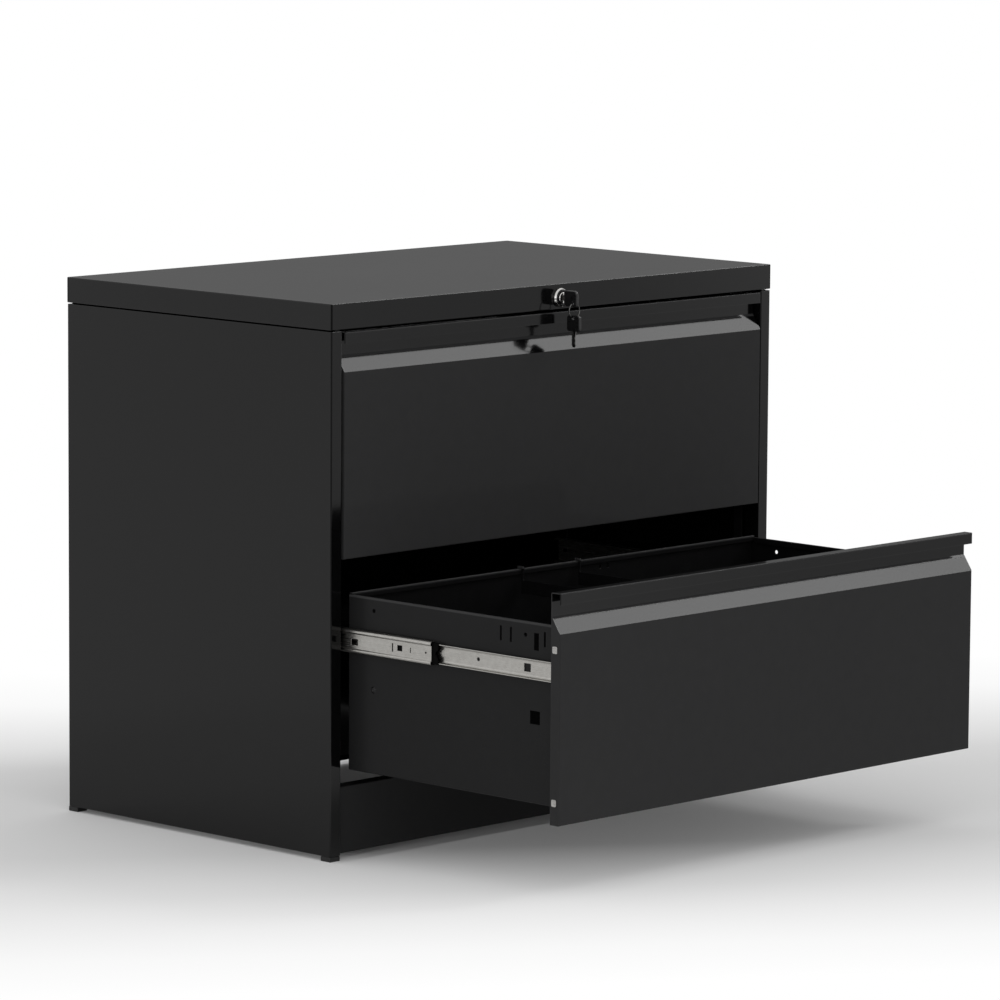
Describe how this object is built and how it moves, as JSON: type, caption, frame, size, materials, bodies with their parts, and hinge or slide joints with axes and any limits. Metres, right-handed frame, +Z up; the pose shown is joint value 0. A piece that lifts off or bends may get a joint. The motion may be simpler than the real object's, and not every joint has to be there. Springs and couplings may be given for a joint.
{
  "type": "lateral filing cabinet",
  "caption": "Low black sheet-metal lateral filing cabinet with full-width drawers on ball runners, folded finger-pull fronts and a keyed lock in the cap.",
  "frame": {"origin": "on the floor, under the middle of the whole object as it stands with the lower drawer open", "axes": "+Z up, -Y toward the drawer fronts, +X to the right as seen from the front"},
  "size_m": [0.85, 0.8932, 0.727],
  "materials": {
    "black_paint": "glossy black powder coat",
    "zinc_steel": "bright zinc plate",
    "rail_steel": "black coated bar",
    "nickel": "polished nickel",
    "black_plastic": "moulded black",
    "foot_plastic": "moulded black"
  },
  "bodies": {
    "cabinet": {"left_side_panel": "black_paint", "right_side_panel": "black_paint", "back_panel": "black_paint", "top_cap": "black_paint", "kick_plate": "black_paint", "front_left_foot": "foot_plastic", "front_right_foot": "foot_plastic", "rear_left_foot": "foot_plastic", "rear_right_foot": "foot_plastic", "left_rear_upright": "black_paint", "right_rear_upright": "black_paint", "lock_link_guide": "zinc_steel", "lock_bar_guide": "zinc_steel", "upper_left_runner_outer": "zinc_steel", "upper_right_runner_outer": "zinc_steel", "lower_left_runner_outer": "zinc_steel", "lower_right_runner_outer": "zinc_steel", "lock_housing": "nickel", "lock_nut": "zinc_steel"},
    "upper_drawer": {"upper_drawer_front": "black_paint", "upper_drawer_inner_front": "black_paint", "upper_drawer_left_wall": "black_paint", "upper_drawer_right_wall": "black_paint", "upper_drawer_back_wall": "black_paint", "upper_drawer_base": "black_paint", "upper_left_hanging_rail": "rail_steel", "upper_right_hanging_rail": "rail_steel", "upper_lock_stud": "zinc_steel", "upper_left_runner_inner": "zinc_steel", "upper_right_runner_inner": "zinc_steel"},
    "upper_runner_middles": {"upper_left_runner_middle": "zinc_steel", "upper_right_runner_middle": "zinc_steel"},
    "upper_runner_retainers": {"upper_left_runner_retainer": "black_plastic", "upper_right_runner_retainer": "black_plastic"},
    "lower_drawer": {"lower_drawer_front": "black_paint", "lower_drawer_inner_front": "black_paint", "lower_drawer_left_wall": "black_paint", "lower_drawer_right_wall": "black_paint", "lower_drawer_back_wall": "black_paint", "lower_drawer_base": "black_paint", "lower_left_hanging_rail": "rail_steel", "lower_right_hanging_rail": "rail_steel", "lower_lock_stud": "zinc_steel", "lower_left_runner_inner": "zinc_steel", "lower_right_runner_inner": "zinc_steel"},
    "lower_runner_middles": {"lower_left_runner_middle": "zinc_steel", "lower_right_runner_middle": "zinc_steel"},
    "lower_runner_retainers": {"lower_left_runner_retainer": "black_plastic", "lower_right_runner_retainer": "black_plastic"},
    "lock_plug": {"lock_plug": "nickel", "lock_cam": "zinc_steel"},
    "key": {"key_grip": "black_plastic", "key_blade": "nickel"},
    "lock_link": {"lock_link": "zinc_steel"},
    "lock_bar": {"lock_bar": "zinc_steel"}
  },
  "joints": [
    {"name": "upper_drawer_slide", "type": "slide", "parent": "cabinet", "child": "upper_drawer", "axis": [0, -1, 0], "range_m": [0, 0.39]},
    {"name": "lower_drawer_slide", "type": "slide", "parent": "cabinet", "child": "lower_drawer", "axis": [0, -1, 0], "range_m": [-0.384, 0.006]},
    {"name": "upper_middle_slide", "type": "slide", "parent": "cabinet", "child": "upper_runner_middles", "axis": [0, -1, 0], "range_m": [-0.001, 0.17767]},
    {"name": "lower_middle_slide", "type": "slide", "parent": "cabinet", "child": "lower_runner_middles", "axis": [0, -1, 0], "range_m": [-0.17495, 0.00372]},
    {"name": "upper_retainer_slide", "type": "slide", "parent": "cabinet", "child": "upper_runner_retainers", "axis": [0, -1, 0], "range_m": [-0.001, 0.28434]},
    {"name": "lower_retainer_slide", "type": "slide", "parent": "cabinet", "child": "lower_runner_retainers", "axis": [0, -1, 0], "range_m": [-0.27998, 0.00536]},
    {"name": "lock_bar_slide", "type": "slide", "parent": "cabinet", "child": "lock_bar", "axis": [0, 0, -1], "range_m": [0, 0.01414]},
    {"name": "lock_link_slide", "type": "slide", "parent": "cabinet", "child": "lock_link", "axis": [-1, 0, 0], "range_m": [-0.0002, 0.01434]},
    {"name": "lock_turn", "type": "hinge", "parent": "cabinet", "child": "lock_plug", "pos_m": [0, -0.06045, 0.7081], "axis": [0, 1, 0], "range_deg": [-0.5, 90.5]},
    {"name": "key_pull", "type": "slide", "parent": "lock_plug", "child": "key", "axis": [0, -1, 0], "range_m": [0, 0.04]}
  ],
  "couplings": [
    {"joint": "upper_middle_slide", "follows": "upper_drawer_slide", "ratio": 0.453},
    {"joint": "lower_middle_slide", "follows": "lower_drawer_slide", "ratio": 0.453},
    {"joint": "upper_retainer_slide", "follows": "upper_drawer_slide", "ratio": 0.7265},
    {"joint": "lower_retainer_slide", "follows": "lower_drawer_slide", "ratio": 0.7265},
    {"joint": "lock_link_slide", "follows": "lock_bar_slide", "ratio": 1},
    {"joint": "lock_turn", "follows": "lock_bar_slide", "rad_per_m": 111.07}
  ]
}
